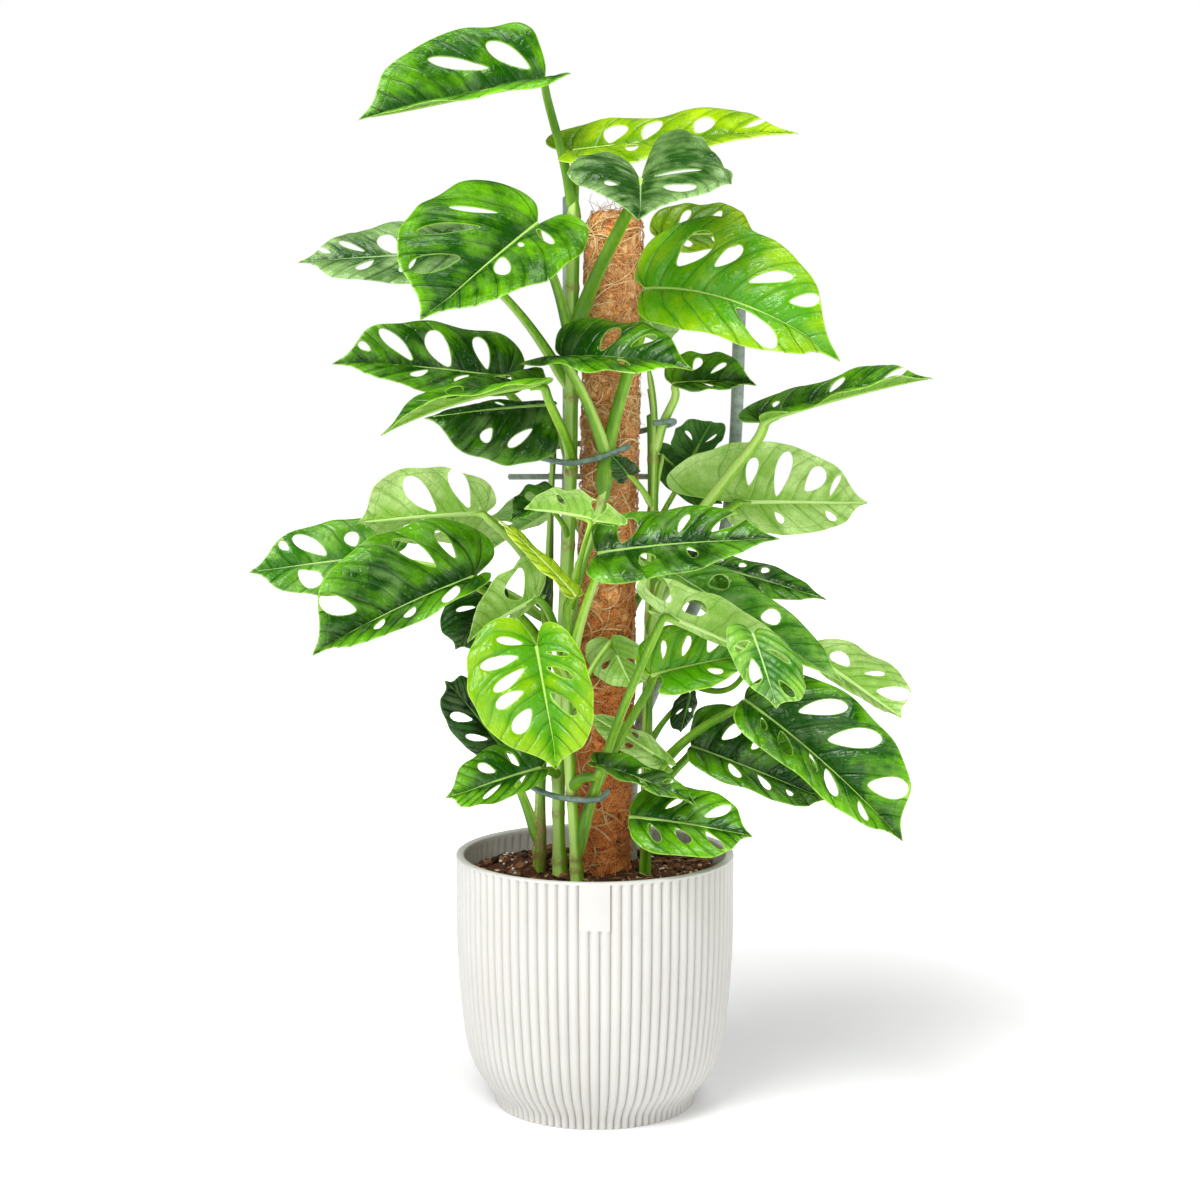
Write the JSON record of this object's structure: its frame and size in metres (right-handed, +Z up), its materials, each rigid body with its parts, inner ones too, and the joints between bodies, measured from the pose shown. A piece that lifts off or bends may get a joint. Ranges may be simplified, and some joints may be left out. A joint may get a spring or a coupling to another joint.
{
  "type": "monstera adansonii in a pot",
  "caption": "Climbing monstera with holed leaves on a coir pole, held by wire ties and standing in soil in a ribbed pot with a flat underside.",
  "frame": {"origin": "centre of the pot's underside, on the surface that the pot stands on", "axes": "+Z up; +X to the right and -Y towards the viewer when the blank pad under the rim faces the viewer"},
  "size_m": [0.4352, 0.2854, 0.7087],
  "materials": {
    "pot": "warm white, matte, moulded with upright ribs",
    "soil": "dark damp potting mix with bark chips",
    "stake": "plain turned wood",
    "coir": "tangled coconut fibre, dull",
    "wire": "grey-green plastic coating on wire",
    "stem": "smooth green stem, slight gloss",
    "leaf": "glossy green leaf with raised side veins"
  },
  "bodies": {
    "root": {"pot": "pot", "soil": "soil", "pole_stake": "stake", "coir_pole": "coir", "support_frame": "wire", "tie_upper": "wire", "tie_lower": "wire", "vine_main": "stem", "vine_left": "stem", "vine_front": "stem", "vine_right": "stem", "vine_back": "stem", "leaf_top_left": "leaf", "leaf_top_right": "leaf", "leaf_crown": "leaf", "leaf_upper_left": "leaf", "leaf_far_upper_left": "leaf", "leaf_upper_right": "leaf", "leaf_behind_right": "leaf", "leaf_over_pole": "leaf", "leaf_mid_left": "leaf", "leaf_mid_left_edge": "leaf", "leaf_mid_left_under": "leaf", "leaf_small_right": "leaf", "leaf_far_right_fold": "leaf", "leaf_right_pale": "leaf", "leaf_small_dark": "leaf", "leaf_right_back_dark": "leaf", "leaf_left_pale": "leaf", "leaf_far_left": "leaf", "leaf_left_big": "leaf", "leaf_left_dark": "leaf", "leaf_left_pale_fold": "leaf", "leaf_left_dark_back": "leaf", "leaf_heart": "leaf", "leaf_yellow_edge": "leaf", "leaf_centre_pale": "leaf", "leaf_centre_dark": "leaf", "leaf_centre_right": "leaf", "leaf_right_back": "leaf", "leaf_right_long": "leaf", "leaf_right_pale_fold": "leaf", "leaf_right_low_mid": "leaf", "leaf_right_bright": "leaf", "leaf_far_right_pale": "leaf", "leaf_right_large": "leaf", "leaf_right_large_back": "leaf", "leaf_low_right": "leaf", "leaf_low_right_fold": "leaf", "leaf_low_pale": "leaf", "leaf_centre_low_pale": "leaf", "leaf_small_low_dark": "leaf", "leaf_low_left_dark": "leaf", "leaf_low_left": "leaf", "leaf_small_front": "leaf", "leaf_back_upper": "leaf", "leaf_back_left": "leaf", "leaf_back_right": "leaf", "leaf_back_low": "leaf"}
  },
  "joints": []
}
